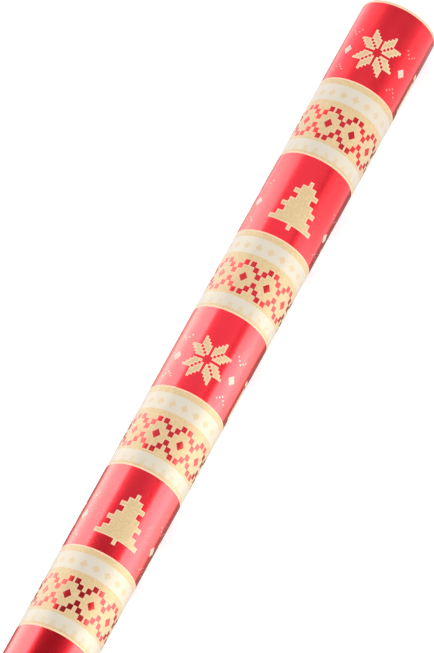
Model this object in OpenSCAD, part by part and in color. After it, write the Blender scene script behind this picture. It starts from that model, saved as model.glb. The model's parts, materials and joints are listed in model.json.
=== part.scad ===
// Roll of wrapping paper lying on its side: a spiral-wound chipboard core, a web of foil paper
// wound on it, and the free end of the web, which uncurls from the back of the roll.
//
// The roll lies along X with its lowest line on z = 0 and its middle over the origin.
// Angles are counted from the line it rests on, round the back (+Y), over the top.

/* [Roll] */
// Width of the paper web, which is the length of the roll
web_w = 700; // [400:10:1000]
// Outside diameter of the wound roll
roll_d = 38; // [34:0.5:60]
// Thickness of the foil paper
paper_t = 0.09; // [0.06:0.01:0.15]

/* [Core] */
// Inside diameter of the chipboard core
core_bore_d = 32.4; // [24:0.2:33]
// Thickness of one chipboard ply
ply_t = 0.4; // [0.3:0.05:0.5]
// Radial play between the core and the first turn
core_play = 0.05; // [0.02:0.01:0.1]

/* [Free end] */
// Angle from the resting line to the line where the free end leaves the roll
leaf_start = 11; // [11:1:20]
// Angle that one strip of the free end covers
strip_angle = 19.8; // [10:0.1:20]
// Air under the free end where it lies on the turn below
leaf_air = 0.3; // [0.2:0.05:0.5]

/* [Hidden] */
$fn = 96;

roll_r = roll_d / 2;
core_bore_r = core_bore_d / 2;
core_r = core_bore_r + 3 * ply_t;
winding_bore_r = core_r + core_play;

// The free end and the pocket that it lies in
strip_count = 5;
leaf_angle = strip_count * strip_angle;
leaf_in_r = roll_r - paper_t;
pocket_r = leaf_in_r - leaf_air;
strip_gap = 0.1;
strip_gap_angle = strip_gap / roll_r * 180 / PI;
pocket_margin_angle = 0.8;
over = 1;

chipboard = "#b08a5e";
liner = "#c7a678";
foil = "#d3203a";
foil_light = "#dd4a5a";

// Turns a shape made round +Z, with its angle 0 along +X, into the lying roll's own place.
module lay_down() {
    translate([0, 0, roll_r]) rotate([0, 90, 0]) children();
}

module tube(inner_r, outer_r) {
    difference() {
        cylinder(r = outer_r, h = web_w, center = true);
        cylinder(r = inner_r, h = web_w + 2 * over, center = true);
    }
}

// Part of a tube from one angle to another.
module tube_part(inner_r, outer_r, from, to, length) {
    rotate([0, 0, from])
        rotate_extrude(angle = to - from)
            translate([inner_r, -length / 2]) square([outer_r - inner_r, length]);
}

// One of the core's three plies, counted from the bore outwards.
module core_ply(number) {
    lay_down() tube(core_bore_r + number * ply_t, core_bore_r + (number + 1) * ply_t);
}

module core_liner_ply() { color(liner) core_ply(0); }
module core_middle_ply() { color(chipboard) core_ply(1); }
module core_outer_ply() { color(chipboard) core_ply(2); }

// All the turns that stay wound, with the pocket under the free end.
module wound_paper() {
    color(foil) lay_down() difference() {
        tube(winding_bore_r, roll_r);
        tube_part(
            pocket_r, roll_r + over,
            leaf_start, leaf_start + leaf_angle + pocket_margin_angle,
            web_w + 2 * over
        );
    }
}

// One strip of the free end. It hinges on its lower edge, along the paper's outer face.
module leaf_strip(number) {
    from = leaf_start + (number - 1) * strip_angle;
    color(number % 2 == 0 ? foil : foil_light) lay_down()
        tube_part(leaf_in_r, roll_r, from + strip_gap_angle, from + strip_angle, web_w);
}

core_liner_ply();
core_middle_ply();
core_outer_ply();
wound_paper();
leaf_strip(1);  // leaf_strip_1
leaf_strip(2);  // leaf_strip_2
leaf_strip(3);  // leaf_strip_3
leaf_strip(4);  // leaf_strip_4
leaf_strip(5);  // leaf_strip_5
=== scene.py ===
"""Looks of a wrapping paper roll: a foil sheet with a knitting-pattern print, wound on a chipboard core.

The roll lies along X on the floor. Angles round it are in degrees from the line it rests on, round the
back (+Y) and over the top. They go on below zero for the turns further in, so that one angle names one
place on the wound sheet.
"""

import json
import math

import bmesh
import bpy
import numpy as np
from mathutils import Matrix, Vector


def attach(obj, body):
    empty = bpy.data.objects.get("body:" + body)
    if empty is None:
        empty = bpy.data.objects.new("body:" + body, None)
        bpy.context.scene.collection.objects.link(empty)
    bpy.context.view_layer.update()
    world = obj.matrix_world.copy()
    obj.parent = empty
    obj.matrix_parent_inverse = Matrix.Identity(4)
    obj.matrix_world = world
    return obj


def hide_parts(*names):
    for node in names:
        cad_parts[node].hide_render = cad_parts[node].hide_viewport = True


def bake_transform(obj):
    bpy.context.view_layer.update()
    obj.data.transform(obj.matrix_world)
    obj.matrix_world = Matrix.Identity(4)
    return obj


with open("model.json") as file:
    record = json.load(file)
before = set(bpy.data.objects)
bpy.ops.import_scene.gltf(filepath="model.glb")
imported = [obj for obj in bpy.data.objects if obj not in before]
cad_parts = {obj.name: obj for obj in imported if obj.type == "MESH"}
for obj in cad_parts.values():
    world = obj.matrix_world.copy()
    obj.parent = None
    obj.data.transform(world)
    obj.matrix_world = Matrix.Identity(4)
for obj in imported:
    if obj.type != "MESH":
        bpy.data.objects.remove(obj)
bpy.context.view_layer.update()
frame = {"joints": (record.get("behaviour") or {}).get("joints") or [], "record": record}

# ---------------------------------------------------------------- sizes, in metres and degrees

record = frame["record"]
bore = next(m for m in record["mounts"] if m["name"] == "core_bore")
uncurls = sorted((j for j in frame["joints"] if j["name"].startswith("leaf_uncurl")), key=lambda j: j["name"])
ROLL_R = bore["pos_m"][2]
BORE_R = bore["dims"]["r_mm"] / 1000
HALF_WEB = bore["dims"]["length_mm"] / 2000
MM = 0.001

PAPER_T = 0.075 * MM
PLY_T = 0.4 * MM
CORE_R = BORE_R + 3 * PLY_T
CORE_PLAY = 0.06 * MM
FIRST_TURN_R = CORE_R + CORE_PLAY + PAPER_T
TURNS = 17
TURN = 360.0


def angle_of(joint):
    """The angle round the roll at which a hinge of the free end lies."""
    _, y, z = joint["pos_m"]
    return math.degrees(math.atan2(y, ROLL_R - z))


LEAF_ANGLES = [angle_of(j) for j in uncurls]
STRIP = uncurls[0]["range_deg"][1]
LEAF_FROM = LEAF_ANGLES[0] - STRIP / 2
FREE_EDGE = LEAF_ANGLES[-1] + STRIP
# The turn under the free end lies lower than the paper's thickness asks for, because the bend of one strip
# pushes the paper just below its hinge a tenth of a millimetre inwards.
STEP_UNDER_LEAF = 0.19 * MM
SEAT_ANGLE = FREE_EDGE - TURN
INNER_END = FREE_EDGE - TURN * TURNS

# The camera looks along the roll from the side, with its own horizon tipped.
CAMERA_AIM = Vector((0.17099, 0.00691, ROLL_R))
CAMERA_DISTANCE = 3.4447
CAMERA_AZIMUTH = -43.99
CAMERA_ELEVATION = 51.13
CAMERA_ROLL = -24.04
CAMERA_LENS = 418.5


# ---------------------------------------------------------------- numbers worked out by nodes


class Field:
    """A number that varies over a surface. Arithmetic on it adds nodes to its material."""

    def __init__(self, tree, socket):
        self.tree = tree
        self.socket = socket

    def math(self, operation, *others):
        node = self.tree.nodes.new("ShaderNodeMath")
        node.operation = operation
        for entry, value in zip(node.inputs, (self, *others)):
            if isinstance(value, Field):
                self.tree.links.new(value.socket, entry)
            else:
                entry.default_value = value
        return Field(self.tree, node.outputs[0])

    def __add__(self, other):
        return self.math("ADD", other)

    def __sub__(self, other):
        return self.math("SUBTRACT", other)

    def __mul__(self, other):
        return self.math("MULTIPLY", other)

    def over(self, edge):
        """1 where it is above the edge, and 0 elsewhere."""
        return self.math("GREATER_THAN", edge)

    def under(self, edge):
        return self.math("LESS_THAN", edge)

    def floor(self):
        return self.math("FLOOR")

    def size(self):
        return self.math("ABSOLUTE")

    def least(self, other):
        return self.math("MINIMUM", other)

    def most(self, other):
        return self.math("MAXIMUM", other)

    def cycle(self, length):
        return self.math("FLOORED_MODULO", length)

    def flip(self):
        """1 becomes 0 and 0 becomes 1."""
        return self * -1.0 + 1.0


def within(field, low, high):
    return field.over(low) * field.under(high)


def rise(field, low, high):
    """Rises from 0 to 1 while the field goes from low to high."""
    return ((field - low) * (1 / (high - low))).most(0.0).least(1.0)


def from_nearest(field, centre, pitch):
    """Distance to the nearest of a row of centres one pitch apart."""
    return (field - (centre - pitch / 2)).cycle(pitch) - pitch / 2


# ---------------------------------------------------------------- the print, in roll radii

DEG = math.pi / 180
REPEAT = 4.706
FIRST_RED = 0.066
RED_END = 2.366
MOTIF_PITCH = 111.8 * DEG
MOTIF_REPEAT = 4 * MOTIF_PITCH
# What is added to an angle round the roll to give the print's own angle, in degrees
PRINT_TURN = 150.0
TREE_AT = -119.8 * DEG
BAND_SHIFT = 121.3 * DEG
LACE_AT = -1.9 * DEG
HEXAGON_PITCH = MOTIF_PITCH / 3
OUTLINE = 0.023
STITCH = 0.069
# Places in one repeat, from the start of its red part: where rows start and end, and middles of others
GOLD_ROWS = (2.40, 4.66)
IVORY_ROW = (2.555, 3.04)
BUMP_ROW = (4.25, 4.60)
DIAMOND_ROW = 2.82
LACE_ROW = 3.69
STAR_ROW = 1.39
SPARKLE_ROW = 1.475
SPARKLE_SIDE = 46 * DEG
SPOT_PITCH = 0.07
SPOT_R = 0.023
LACE_BORDER = 0.016
LACE_FILL = 0.006


def tree_half_width(along):
    """Half width of the stepped tree at a distance along the band; below zero outside it."""
    top, tier_height, first_step, second_step = 0.625, 0.432, 0.152, 0.298
    narrow, wider = 0.049, 0.136
    down = along - top
    tier = (down * (1 / tier_height)).floor()
    in_tier = down - tier * tier_height
    row = in_tier.over(first_step) + in_tier.over(second_step)
    inside = within(down, 0.0, 3 * tier_height)
    trunk = within(down, 3 * tier_height - 0.001, 3 * tier_height + 0.15)
    branches = ((tier + row) * wider + (narrow + 1.0)) * inside
    return branches.most(trunk * (narrow + 1.0)) - 1.0


def tree(across, along):
    """(the whole tree, the tree inside its outline)"""
    width = tree_half_width(along)
    core = width.least(tree_half_width(along - OUTLINE)).least(tree_half_width(along + OUTLINE))
    return across.size().under(width), (across.size() + OUTLINE).under(core)


def star(across, along):
    """The eight-petal star of knitted jumpers, and the same inside its outline."""
    x = (across * (1 / 0.945)).size()
    y = ((along - STAR_ROW) * (1 / 1.058)).size()
    low, high = x.least(y), x.most(y)

    def petals(edge):
        near = ((low - edge) * (1 / STITCH) + 0.5).floor()
        far = ((low + edge) * (1 / STITCH) + 0.5).floor()
        in_rows = near.over(0.5) * far.under(4.5)
        start = (far + 0.5) * STITCH
        end = (near + 4.25) * STITCH
        return in_rows * (high - edge).over(start) * (high + edge).under(end)

    return petals(0.0), petals(OUTLINE)


def gift_box(across, along):
    """A wrapped box with a lid, a ribbon and a stepped bow, and the same inside its outline."""
    side = across.size()

    def box(edge):
        def block(half_width, start, end, inner=-1.0):
            rows = within(along, start + edge, end - edge)
            return rows * (side + edge).under(half_width) * (side - edge).over(inner)

        ribbon = STITCH
        lid = block(0.585, 1.05, 1.17, ribbon)
        body = block(0.50, 1.215, 2.12, ribbon)
        loops = block(0.33, 0.86, 1.0, ribbon).most(block(0.26, 0.77, 0.86 + 2 * edge, 2 * ribbon))
        return lid.most(body).most(loops)

    return box(0.0), box(OUTLINE)


def diamond(across, along, half_width, half_height):
    return (across.size() * (1 / half_width) + along.size() * (1 / half_height)).under(1.0)


def sparkle(across, along):
    """A small diamond, with a chevron of five dots on either side of it."""
    spot = across.least(0.17).most(-0.17)
    nearest = (spot * (1 / SPOT_PITCH) + 0.5).floor() * SPOT_PITCH
    down = along.size() - nearest.size() - 0.475
    aside = across - nearest
    dots = (aside * aside + down * down).under(SPOT_R**2)
    return diamond(across, along, 0.117, 0.14).most(dots * 0.4)


def small_squares(across, along, edge):
    """The ring of small squares in each hexagon of the lace, each made larger by the edge."""
    side, down = across.size(), along.size()
    marks = diamond(across, along, 0.108 + edge, 0.135 + edge)
    for x, y in ((0.09, 0.405), (0.211, 0.275), (HEXAGON_PITCH / 2, 0.125)):
        in_width = (side - x).size().under(0.0605 + edge)
        in_height = (down - y).size().under(0.0705 + edge)
        marks = marks.most(in_width * in_height)
    return marks


def printed(around, from_edge):
    """How much of each ink there is, as fields from 0 to 1: gold, ivory, peach and the lace's dark red."""
    from_red = from_edge - FIRST_RED
    band = (from_red * (1 / REPEAT)).floor()
    along = from_red - band * REPEAT
    odd = band.cycle(2.0)
    place = around - odd * BAND_SHIFT - TREE_AT

    in_red = along.under(RED_END)
    trees, tree_core = tree(from_nearest(place, 0.0, MOTIF_REPEAT), along)
    stars, star_core = star(from_nearest(place, MOTIF_PITCH, 2 * MOTIF_PITCH), along)
    gifts, gift_core = gift_box(from_nearest(place, 2 * MOTIF_PITCH, MOTIF_REPEAT), along)
    from_star = from_nearest(place, MOTIF_PITCH, 2 * MOTIF_PITCH).size()
    sparkles = sparkle(from_star - SPARKLE_SIDE, along - SPARKLE_ROW)
    motifs = trees.most(stars).most(gifts) * in_red
    motif_cores = tree_core.most(star_core).most(gift_core) * in_red

    diamonds = diamond(from_nearest(around, LACE_AT, HEXAGON_PITCH / 2), along - DIAMOND_ROW, 0.10, 0.105)
    across = from_nearest(around, LACE_AT + HEXAGON_PITCH / 2, HEXAGON_PITCH)
    squares = small_squares(across, along - LACE_ROW, LACE_BORDER)
    square_cores = small_squares(across, along - LACE_ROW, LACE_FILL)
    bump_side = from_nearest(around, LACE_AT + 0.2 * DEG, MOTIF_REPEAT / 28).size()
    bumps = (bump_side.under(0.05) * along.over(4.44)).most(bump_side.under(0.085) * along.over(4.55))

    ivory_rows = within(along, *IVORY_ROW).most(within(along, *BUMP_ROW))
    ivory = ivory_rows * (diamonds * 0.75).most(bumps * 0.5).flip()
    gold_rows = within(along, *GOLD_ROWS)
    peach_lines = within(along, RED_END, GOLD_ROWS[0]).most(along.over(GOLD_ROWS[1]))
    gold = (gold_rows * squares.flip()).most(motif_cores)
    lace = gold_rows * square_cores
    peach = peach_lines.most(motifs * motif_cores.flip()).most(gold_rows * squares * square_cores.flip())
    cream = sparkles * in_red * motifs.flip()
    return gold, ivory.most(cream), peach, lace


# ---------------------------------------------------------------- materials


def new_material(name):
    material = bpy.data.materials.new(name)
    material.use_nodes = True
    shader = material.node_tree.nodes["Principled BSDF"]
    return material, material.node_tree, shader


def add_node(tree, kind, inputs=(), **settings):
    """A node with its settings and the values or links of its named inputs."""
    node = tree.nodes.new(kind)
    for key, value in settings.items():
        setattr(node, key, value)
    for key, value in dict(inputs).items():
        if isinstance(value, Field):
            tree.links.new(value.socket, node.inputs[key])
        elif isinstance(value, bpy.types.NodeSocket):
            tree.links.new(value, node.inputs[key])
        else:
            node.inputs[key].default_value = value
    return node


def noise(tree, place, scale, detail=3.0, roughness=0.5):
    """Even noise from 0 to 1, as a field."""
    inputs = {"Vector": place, "Scale": scale, "Detail": detail, "Roughness": roughness}
    return Field(tree, add_node(tree, "ShaderNodeTexNoise", inputs).outputs["Fac"])


def mixed(tree, share, first, second):
    """The first colour where the share is 0 and the second where it is 1."""
    node = tree.nodes.new("ShaderNodeMix")
    node.data_type = "RGBA"
    tree.links.new(share.socket, node.inputs["Factor"])
    for key, colour in (("A", first), ("B", second)):
        entry = next(s for s in node.inputs if s.name == key and s.type == "RGBA")
        if isinstance(colour, bpy.types.NodeSocket):
            tree.links.new(colour, entry)
        else:
            entry.default_value = (*colour, 1.0)
    return next(s for s in node.outputs if s.type == "RGBA")


def bumped(tree, shader, height, strength, distance):
    node = add_node(tree, "ShaderNodeBump", {"Height": height, "Strength": strength, "Distance": distance})
    tree.links.new(node.outputs["Normal"], shader.inputs["Normal"])


def stretched_place(tree, scale):
    """Object coordinates stretched by a scale, for fibres and streaks."""
    coordinates = tree.nodes.new("ShaderNodeTexCoord")
    mapping = add_node(tree, "ShaderNodeMapping", {"Vector": coordinates.outputs["Object"], "Scale": scale})
    return mapping.outputs["Vector"]


RED = (0.94, 0.006, 0.020)
DEEP_RED = (0.82, 0.003, 0.014)
# Pale pink of the scuffs: scratches on the foil, painted lighter as the glints they catch
SCUFF_GLINT_RED = (1.0, 0.42, 0.36)
LACE_RED = (0.61, 0.018, 0.020)
GOLD = (0.69, 0.505, 0.26)
DEEP_GOLD = (0.60, 0.44, 0.21)
IVORY = (0.645, 0.575, 0.445)
PEACH = (0.95, 0.60, 0.38)
PAPER_WHITE = (0.86, 0.84, 0.80)
PAPER_FIBRE = (0.74, 0.71, 0.66)
EDGE_LIGHT = (0.80, 0.74, 0.66)
EDGE_DARK = (0.62, 0.50, 0.42)
BOARD_LIGHT = (0.50, 0.37, 0.24)
BOARD_DARK = (0.34, 0.23, 0.13)
LINER_LIGHT = (0.60, 0.46, 0.30)
LINER_DARK = (0.45, 0.32, 0.19)
FLECK = (0.12, 0.08, 0.05)


def foil_print():
    """Coloured foil: glossy red, with gold, ivory and peach inks that shine less."""
    material, tree, shader = new_material("foil_print")
    uv = add_node(tree, "ShaderNodeUVMap", uv_map="Print").outputs["UV"]
    parts = add_node(tree, "ShaderNodeSeparateXYZ", {"Vector": uv})
    gold, ivory, peach, lace = printed(Field(tree, parts.outputs["X"]), Field(tree, parts.outputs["Y"]))

    place = stretched_place(tree, (1.0, 1.0, 1.0))
    cloudy = noise(tree, place, 60.0)
    grain = noise(tree, place, 2600.0, 2.0)
    colour = mixed(tree, cloudy, RED, DEEP_RED)
    # Sparse pale specks: scuffs on the foil, with their glints painted in as a lighter pink colour
    scuff_glints = noise(tree, place, 2200.0, 1.0).over(0.68) * noise(tree, place, 70.0, 2.0).over(0.57)
    colour = mixed(tree, scuff_glints * 0.25, colour, SCUFF_GLINT_RED)
    colour = mixed(tree, lace, colour, LACE_RED)
    mottle = noise(tree, place, 1100.0, 2.0)
    colour = mixed(tree, gold, colour, mixed(tree, rise(mottle, 0.35, 0.65), GOLD, DEEP_GOLD))
    colour = mixed(tree, ivory, colour, IVORY)
    colour = mixed(tree, peach, colour, PEACH)
    tree.links.new(colour, shader.inputs["Base Color"])

    inks = gold.most(ivory).most(peach)
    metallic = inks.flip() * 0.83 + gold * 0.03
    tree.links.new(metallic.socket, shader.inputs["Metallic"])
    roughness = inks * 0.16 + grain * 0.10 + 0.20
    tree.links.new(roughness.socket, shader.inputs["Roughness"])
    coat = inks * -0.61 + lace * -0.35 + 0.75
    tree.links.new(coat.socket, shader.inputs["Coat Weight"])
    shine = inks * -0.34 + 0.50
    tree.links.new(shine.socket, shader.inputs["Specular IOR Level"])
    sheen = inks * 0.30 + gold * 0.20
    tree.links.new(sheen.socket, shader.inputs["Sheen Weight"])
    shader.inputs["Coat Roughness"].default_value = 0.20
    height = grain * 0.35 + inks * 0.5 + noise(tree, place, 420.0, 2.0) * 0.6
    bumped(tree, shader, height, 0.25, 0.00003)
    return material


def paper_back():
    """The plain white side of the sheet."""
    material, tree, shader = new_material("paper_back")
    fibres = noise(tree, stretched_place(tree, (0.4, 1.0, 1.0)), 1500.0, 4.0, 0.6)
    tree.links.new(mixed(tree, fibres, PAPER_WHITE, PAPER_FIBRE), shader.inputs["Base Color"])
    shader.inputs["Roughness"].default_value = 0.72
    bumped(tree, shader, fibres, 0.2, 0.00003)
    return material


def paper_edge():
    """The cut edge of the sheet."""
    material, tree, shader = new_material("paper_edge")
    dust = noise(tree, stretched_place(tree, (1.0, 1.0, 1.0)), 3000.0, 3.0)
    tree.links.new(mixed(tree, dust, EDGE_LIGHT, EDGE_DARK), shader.inputs["Base Color"])
    shader.inputs["Roughness"].default_value = 0.85
    bumped(tree, shader, dust, 0.4, 0.00005)
    return material


def chipboard(name, light, dark):
    """Grey-brown board with fibres, flecks and darker clouds."""
    material, tree, shader = new_material(name)
    fibres = noise(tree, stretched_place(tree, (0.35, 1.0, 1.0)), 1400.0, 5.0, 0.65)
    clouds = noise(tree, stretched_place(tree, (1.0, 1.0, 1.0)), 90.0, 3.0)
    flecks = noise(tree, stretched_place(tree, (1.0, 1.0, 1.0)), 900.0, 2.0).over(0.68)
    colour = mixed(tree, fibres * 0.6 + clouds * 0.4, light, dark)
    colour = mixed(tree, flecks * 0.35, colour, FLECK)
    tree.links.new(colour, shader.inputs["Base Color"])
    roughness = fibres * 0.15 + 0.78
    tree.links.new(roughness.socket, shader.inputs["Roughness"])
    bumped(tree, shader, fibres, 0.5, 0.00008)
    return material


# ---------------------------------------------------------------- the wound sheet

# Steps of the sheet's grid: over the outer turn, over each inner turn and along the roll; degrees on the leaf
OUTER_STEPS = 240
INNER_STEPS = 90
COLUMNS = 48
LEAF_STEP = 1.1
RIPPLE = 0.012 * MM


def sheet_radius(angles, xs):
    """Radius of the sheet's outer face, by angle (first index) and place along the roll (second)."""
    base = np.interp(
        angles,
        [INNER_END, SEAT_ANGLE, LEAF_FROM, FREE_EDGE],
        [FIRST_TURN_R, ROLL_R - STEP_UNDER_LEAF, ROLL_R, ROLL_R],
    )
    ripple = np.zeros((len(angles), len(xs)))
    for waves, turns, phase, height in ((5, 2, 0.3, 0.5), (9, -3, 1.9, 0.3), (14, 5, 4.1, 0.2)):
        slant = np.radians(angles)[:, None] * turns
        ripple += height * np.sin(waves * math.pi * xs[None, :] / HALF_WEB + slant + phase)
    return base[:, None] + RIPPLE * (ripple - 1.0)


def web_end(angles):
    """How far the sheet reaches along the roll at each angle: the turns aren't quite level at the ends."""
    slow = np.sin(np.radians(angles) / 3.1 + 0.7)
    quick = np.sin(np.radians(angles) * 0.83 + 2.0)
    return HALF_WEB - (0.14 + 0.08 * slow + 0.06 * quick) * MM


def place_at(angles, radii, xs):
    """Points on the roll. Angles, radii and xs are arrays of one shape."""
    a = np.radians(angles)
    return np.stack([xs, radii * np.sin(a), ROLL_R - radii * np.cos(a)], -1)


def grid_faces(first, rows, columns, flipped):
    """Quads of a grid of points numbered row by row from the first."""
    i, j = np.meshgrid(np.arange(rows - 1), np.arange(columns - 1), indexing="ij")
    corner = first + (i * columns + j).ravel()
    quads = np.stack([corner, corner + columns, corner + columns + 1, corner + 1], 1)
    return quads[:, ::-1] if flipped else quads


def strip_faces(outer, inner, flipped):
    """Quads between two matching rows of points."""
    quads = np.stack([outer[:-1], inner[:-1], inner[1:], outer[1:]], 1)
    return quads[:, ::-1] if flipped else quads


def wound_sheet(name, start, end, steps, columns):
    """A closed thin solid: the sheet from one angle to another, printed outside and plain inside."""
    angles = np.linspace(start, end, steps + 1)
    shares = np.linspace(-1, 1, columns + 1)
    flat_xs = shares * HALF_WEB
    radii = sheet_radius(angles, flat_xs)
    xs = web_end(angles)[:, None] * shares[None, :]
    grid = np.broadcast_to(angles[:, None], radii.shape)
    outer, inner = place_at(grid, radii, xs), place_at(grid, radii - PAPER_T, xs)
    rows, wide = radii.shape
    count = rows * wide
    index = np.arange(count).reshape(rows, wide)
    groups = [
        (grid_faces(0, rows, wide, False), 0),
        (grid_faces(count, rows, wide, True), 1),
        (strip_faces(index[:, 0], index[:, 0] + count, False), 2),
        (strip_faces(index[:, -1], index[:, -1] + count, True), 2),
        (strip_faces(index[0], index[0] + count, True), 2),
        (strip_faces(index[-1], index[-1] + count, False), 2),
    ]
    mesh = bpy.data.meshes.new(name)
    points = np.concatenate([outer.reshape(-1, 3), inner.reshape(-1, 3)])
    faces = np.concatenate([quads for quads, _ in groups])
    mesh.from_pydata(points.tolist(), [], faces.tolist())
    slots = np.concatenate([np.full(len(quads), slot, np.int32) for quads, slot in groups])
    mesh.polygons.foreach_set("material_index", slots)
    mesh.polygons.foreach_set("use_smooth", np.ones(len(faces), bool))

    corners = faces.ravel() % count
    across = np.radians(grid + PRINT_TURN) + 0 * radii
    down = (HALF_WEB - np.broadcast_to(flat_xs[None, :], radii.shape)) / ROLL_R
    uv = np.stack([across.ravel()[corners], down.ravel()[corners]], 1)
    mesh.uv_layers.new(name="Print").data.foreach_set("uv", uv.astype(np.float32).ravel())

    slope_round = np.gradient(radii, np.radians(angles), axis=0) / radii
    slope_along = np.gradient(radii, flat_xs, axis=1)
    a = np.radians(grid)
    normal = np.stack(
        [-slope_along, np.sin(a) - slope_round * np.cos(a), -np.cos(a) - slope_round * np.sin(a)], -1
    ).reshape(-1, 3)
    normal /= np.linalg.norm(normal, axis=1, keepdims=True)
    set_normals(mesh, slots, [normal[corners], -normal[corners]])
    return bpy.data.objects.new(name, mesh)


def set_normals(mesh, slots, round_normals):
    """Smooth normals on the outer (slot 0) and inner (slot 1) faces, and flat ones elsewhere."""
    loop_face = np.repeat(np.arange(len(mesh.polygons)), 4)
    flat = np.array([p.normal for p in mesh.polygons], float)[loop_face]
    slot = slots[loop_face][:, None]
    normals = np.where(slot == 0, round_normals[0], np.where(slot == 1, round_normals[1], flat))
    mesh.normals_split_custom_set(normals.tolist())


def link(piece, materials, slot, *nodes):
    """Shows a piece with its materials, as what stands for the CAD nodes."""
    bpy.context.scene.collection.objects.link(piece)
    for material in materials:
        piece.data.materials.append(material)
    if nodes:
        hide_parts(*nodes)
    return piece


def make_sheet():
    """The one sheet of paper, in pieces: the printed outer turn, the inner turns, and one piece for each
    strip of the free end.
    """
    looks = [foil_print(), paper_back(), paper_edge()]
    outer_turn = wound_sheet("printed_turn", LEAF_FROM - TURN, LEAF_FROM, OUTER_STEPS, COLUMNS)
    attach(link(outer_turn, looks, "foil_paper", "wound_paper"), "winding")
    turns_left = (LEAF_FROM - TURN - INNER_END) / TURN
    steps = round(turns_left * INNER_STEPS)
    inner_turns = wound_sheet("inner_turns", INNER_END, LEAF_FROM - TURN, steps, 1)
    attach(link(inner_turns, looks, "foil_paper"), "winding")
    for number, angle in enumerate(LEAF_ANGLES, 1):
        start = angle - STRIP / 2
        end = FREE_EDGE if number == len(LEAF_ANGLES) else angle + STRIP / 2
        piece = wound_sheet(f"leaf_sheet_{number}", start, end, round((end - start) / LEAF_STEP), COLUMNS)
        link(piece, looks, "foil_paper", f"leaf_strip_{number}")
        ends = place_at(np.array([start, angle + STRIP / 2]), np.full(2, ROLL_R), np.zeros(2))
        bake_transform(piece)


# ---------------------------------------------------------------- the core

CORE_LEAD = 75 * MM
PLY_GAP = 0.3 * MM
PLY_SEGMENTS = 72


def spiral_ply(name, number, material, body_slot, node):
    """One chipboard strip, wound in a helix with a narrow gap at its edges and cut square at the ends."""
    inner_r = BORE_R + number * PLY_T
    radii = (inner_r + PLY_T, inner_r)
    shift = CORE_LEAD * number / 3
    turns = math.ceil(2 * HALF_WEB / CORE_LEAD) + 3
    count = turns * PLY_SEGMENTS
    angles = np.linspace(0, TURN * turns, count + 1)
    middle = angles / TURN * CORE_LEAD - turns * CORE_LEAD / 2 + shift
    half_width = (CORE_LEAD - PLY_GAP) / 2
    rows = [place_at(angles, np.full(count + 1, r), middle + side * half_width)
            for r, side in ((radii[0], -1), (radii[0], 1), (radii[1], 1), (radii[1], -1))]
    mesh = bpy.data.meshes.new(name)
    points = np.concatenate(rows)
    index = np.arange(4 * (count + 1)).reshape(4, count + 1)
    quads = [strip_faces(index[k], index[(k + 1) % 4], True) for k in range(4)]
    caps = [[int(index[k][0]) for k in range(4)], [int(index[k][-1]) for k in (3, 2, 1, 0)]]
    mesh.from_pydata(points.tolist(), [], np.concatenate(quads).tolist() + caps)

    shape = bmesh.new()
    shape.from_mesh(mesh)
    for side in (-1, 1):
        everything = shape.verts[:] + shape.edges[:] + shape.faces[:]
        cut = bmesh.ops.bisect_plane(
            shape, geom=everything, plane_co=(side * HALF_WEB, 0, 0), plane_no=(side, 0, 0), clear_outer=True
        )
        rim = [e for e in cut["geom_cut"] if isinstance(e, bmesh.types.BMEdge)]
        bmesh.ops.triangulate(shape, faces=bmesh.ops.edgeloop_fill(shape, edges=rim)["faces"])
    bmesh.ops.recalc_face_normals(shape, faces=shape.faces[:])
    shape.to_mesh(mesh)
    shape.free()
    shade_round(mesh)
    piece = bpy.data.objects.new(name, mesh)
    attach(link(piece, [material], body_slot, node), "core")


def shade_round(mesh):
    """Smooth normals on the faces that lie round the roll's axis, and flat ones on the others."""
    mesh.polygons.foreach_set("use_smooth", np.ones(len(mesh.polygons), bool))
    normals = []
    for face in mesh.polygons:
        flat = face.normal
        for vertex in face.vertices:
            out = mesh.vertices[vertex].co - Vector((0, 0, ROLL_R))
            out.x = 0
            out.normalize()
            facing = out.dot(flat)
            normals.append(tuple(out * math.copysign(1, facing)) if abs(facing) > 0.7 else tuple(flat))
    mesh.normals_split_custom_set(normals)


def make_core():
    board = chipboard("chipboard", BOARD_LIGHT, BOARD_DARK)
    liner = chipboard("core_liner", LINER_LIGHT, LINER_DARK)
    plies = (
        ("core_liner", liner, "core_liner"),
        ("core_middle", board, "chipboard"),
        ("core_outer", board, "chipboard"),
    )
    for number, (name, material, slot) in enumerate(plies):
        spiral_ply(f"{name}_spiral", number, material, slot, f"{name}_ply")


# ---------------------------------------------------------------- floor, lights and camera

FLOOR_SIZE = 12.0
FLOOR_DROP = 0.05 * MM
FLOOR_PALE = (0.46, 0.46, 0.46)
FLOOR_DARKER = (0.44, 0.44, 0.44)
FLOOR_GLOW = 0.75


def make_floor():
    """A pale floor just under the roll. It glows a little, so that it stays nearly white in the shade."""
    half = FLOOR_SIZE / 2
    corners = [(-half, -half, 0), (half, -half, 0), (half, half, 0), (-half, half, 0)]
    mesh = bpy.data.meshes.new("floor")
    mesh.from_pydata(corners, [], [(0, 1, 2, 3)])
    floor = bpy.data.objects.new("floor", mesh)
    floor.location.z = -FLOOR_DROP
    bpy.context.scene.collection.objects.link(floor)
    material, tree, shader = new_material("pale_floor")
    cloud = noise(tree, stretched_place(tree, (1.0, 1.0, 1.0)), 3.0)
    tree.links.new(mixed(tree, cloud, FLOOR_PALE, FLOOR_DARKER), shader.inputs["Base Color"])
    shader.inputs["Roughness"].default_value = 0.8
    shader.inputs["Emission Color"].default_value = (1.0, 1.0, 1.0, 1.0)
    shader.inputs["Emission Strength"].default_value = FLOOR_GLOW
    mesh.materials.append(material)


CARD_START = -0.25
START_FADE = 0.25
BACK_FADE = 0.06
FRONT_FADE = 0.11
FLOOR_LEVEL = 0.001
SHADE_LEVEL = 0.002
WARM = (1.0, 0.97, 0.86)
COOL = (0.96, 0.96, 1.15)


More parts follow.
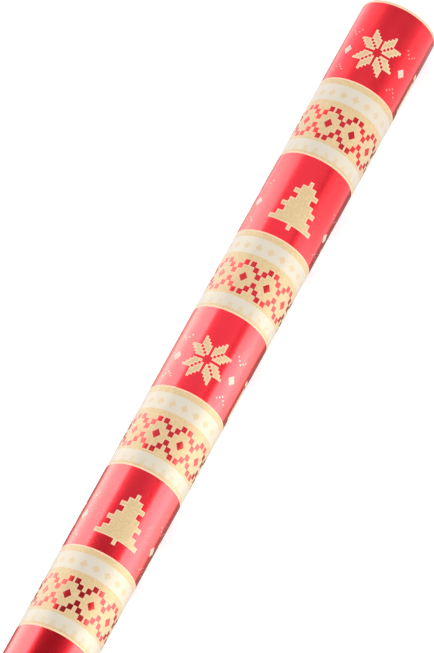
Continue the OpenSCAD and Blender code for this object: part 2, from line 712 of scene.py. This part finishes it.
def glow_card(name, first_line, second_line, fades, tint=WARM):
    """A long flat card beside the roll that only reflections show.

    It spans two lines along X, each given by its y and z, the x of its ends and its radiance. The pale
    floor's radiance is about 1.2. The card fades out over a length before each of its ends.
    """
    corners = []
    for line, at_end in ((first_line, False), (first_line, True), (second_line, True), (second_line, False)):
        y, z, start, end, _ = line
        corners.append((end if at_end else start, y, z))
    mesh = bpy.data.meshes.new(name)
    mesh.from_pydata(corners, [], [(0, 1, 2, 3)])
    card = bpy.data.objects.new(name, mesh)
    bpy.context.scene.collection.objects.link(card)
    card.visible_camera = False
    card.visible_diffuse = False
    card.visible_shadow = False
    places = [(0.0, 0.0), (1.0, 0.0), (1.0, 1.0), (0.0, 1.0)]
    mesh.uv_layers.new(name="Card").data.foreach_set("uv", [c for place in places for c in place])

    material = bpy.data.materials.new(name)
    material.use_nodes = True
    tree = material.node_tree
    tree.nodes.remove(tree.nodes["Principled BSDF"])
    uv = add_node(tree, "ShaderNodeUVMap", uv_map="Card").outputs["UV"]
    parts = add_node(tree, "ShaderNodeSeparateXYZ", {"Vector": uv})
    along, across = Field(tree, parts.outputs["X"]), Field(tree, parts.outputs["Y"])
    length = first_line[3] - first_line[2]
    shape = (along * (length / fades[0])).least(along.flip() * (length / fades[1])).least(1.0)
    soft_shape = shape * shape * (shape * -2.0 + 3.0)
    radiance = across * (second_line[4] - first_line[4]) + first_line[4]
    glow = add_node(tree, "ShaderNodeEmission", {"Color": (*tint, 1.0), "Strength": radiance})
    clear = tree.nodes.new("ShaderNodeBsdfTransparent")
    mix = add_node(tree, "ShaderNodeMixShader", {"Fac": soft_shape})
    tree.links.new(clear.outputs["BSDF"], mix.inputs[1])
    tree.links.new(glow.outputs["Emission"], mix.inputs[2])
    tree.links.new(mix.outputs["Shader"], tree.nodes["Material Output"].inputs["Surface"])
    mesh.materials.append(material)


def soft_light(name, place, size, radiance):
    """A wide soft light that looks at the roll's middle, and that reflections don't show."""
    light = bpy.data.lights.new(name, "AREA")
    light.shape = "SQUARE"
    light.size = size
    light.energy = radiance * math.pi * size * size
    lamp = bpy.data.objects.new(name, light)
    aim = (Vector((0, 0, ROLL_R)) - Vector(place)).to_track_quat("-Z", "Y")
    lamp.matrix_world = Matrix.LocRotScale(Vector(place), aim, None)
    lamp.visible_glossy = False
    bpy.context.scene.collection.objects.link(lamp)


def studio_world():
    """A soft surround: dim overhead, and brighter towards the horizon and the back (+Y)."""
    world = bpy.data.worlds.new("studio")
    world.use_nodes = True
    tree = world.node_tree
    direction = tree.nodes.new("ShaderNodeTexCoord").outputs["Generated"]
    parts = add_node(tree, "ShaderNodeSeparateXYZ", {"Vector": direction})
    from_top = Field(tree, parts.outputs["Z"]).most(0.0).flip()
    back = Field(tree, parts.outputs["Y"]).most(0.0)
    strength = from_top * from_top * 0.4 + back * 0.75 + 0.4
    tree.links.new(strength.socket, tree.nodes["Background"].inputs["Strength"])
    tree.nodes["Background"].inputs["Color"].default_value = (0.97, 0.97, 1.08, 1.0)
    bpy.context.scene.world = world


def make_lights():
    """Soft lamps, and cards that give the foil its highlights: white behind and in front, dark overhead."""
    studio_world()
    soft_light("key_light", place=(0.6, -0.3, 2.5), size=2.5, radiance=1.6)
    soft_light("front_light", place=(0.3, -2.4, 0.9), size=2.0, radiance=2.0)

    # Each line: its y and z, the x of its two ends, its radiance
    back_top = (0.5, 0.94, CARD_START, 0.777, 7.3)
    back_foot = (0.5, 0.0, CARD_START, 0.509, 4.0)
    back_floor = (0.5, FLOOR_LEVEL, CARD_START, 0.45, 3.8)
    near_back = (0.16, FLOOR_LEVEL, CARD_START, 0.30, 3.0)
    nearest_back = (0.075, FLOOR_LEVEL, CARD_START, 0.25, 0.6)
    glow_card("back_card", back_foot, back_top, (START_FADE, 0.08))
    glow_card("back_floor_card", back_floor, near_back, (START_FADE, BACK_FADE))
    glow_card("back_foot_card", near_back, nearest_back, (START_FADE, BACK_FADE))

    # The shade on the floor under the roll, and a deeper one close behind it towards -X
    under_back = (0.075, FLOOR_LEVEL, -1.0, 0.46, 0.6)
    under_front = (-0.025, FLOOR_LEVEL, -1.0, 0.44, 0.25)
    glow_card("under_card", under_back, under_front, (0.5, 0.13))
    shade_back = (0.085, SHADE_LEVEL, -1.0, 0.16, 0.12)
    shade_front = (-0.012, SHADE_LEVEL, -1.0, 0.14, 0.4)
    glow_card("shade_card", shade_back, shade_front, (0.5, 0.07))

    nearest_front = (-0.025, FLOOR_LEVEL, CARD_START, 0.26, 1.3)
    near_front = (-0.07, FLOOR_LEVEL, CARD_START, 0.28, 7.0)
    front_floor = (-0.6, FLOOR_LEVEL, CARD_START, 0.53, 6.6)
    front_foot = (-0.6, 0.0, CARD_START, 0.53, 6.6)
    front_top = (-0.6, 0.23, CARD_START, 0.55, 6.6)
    glow_card("front_foot_card", nearest_front, near_front, (START_FADE, FRONT_FADE))
    glow_card("front_floor_card", near_front, front_floor, (START_FADE, FRONT_FADE))
    glow_card("front_card", front_foot, front_top, (START_FADE, FRONT_FADE))

    # The dark streak along the middle, which a cool glow takes over towards +X
    dark_back = (0.26, 0.48, -0.30, 0.315, 0.0)
    dark_front = (-0.7, 0.48, -0.30, 0.465, 0.06)
    glow_card("dark_card", dark_back, dark_front, (0.2, 0.24))
    overhead_back = (0.24, 0.5, 0.15, 0.54, 1.0)
    overhead_front = (-0.7, 0.5, 0.296, 0.686, 1.2)
    glow_card("overhead_card", overhead_back, overhead_front, (0.12, 0.06), COOL)


def make_camera():
    azimuth, elevation = math.radians(CAMERA_AZIMUTH), math.radians(CAMERA_ELEVATION)
    back = Vector((
        math.sin(azimuth) * math.cos(elevation),
        -math.cos(azimuth) * math.cos(elevation),
        math.sin(elevation),
    ))
    camera = bpy.data.objects.new("camera", bpy.data.cameras.new("camera"))
    level = (-back).to_track_quat("-Z", "Y").to_matrix()
    turn = level @ Matrix.Rotation(math.radians(CAMERA_ROLL), 3, "Z")
    camera.matrix_world = Matrix.LocRotScale(CAMERA_AIM + back * CAMERA_DISTANCE, turn, None)
    camera.data.lens = CAMERA_LENS
    camera.data.clip_end = 50
    bpy.context.scene.collection.objects.link(camera)
    bpy.context.scene.camera = camera


make_sheet()
make_core()
make_floor()
make_lights()
make_camera()
bpy.context.scene.view_settings.view_transform = "Standard"
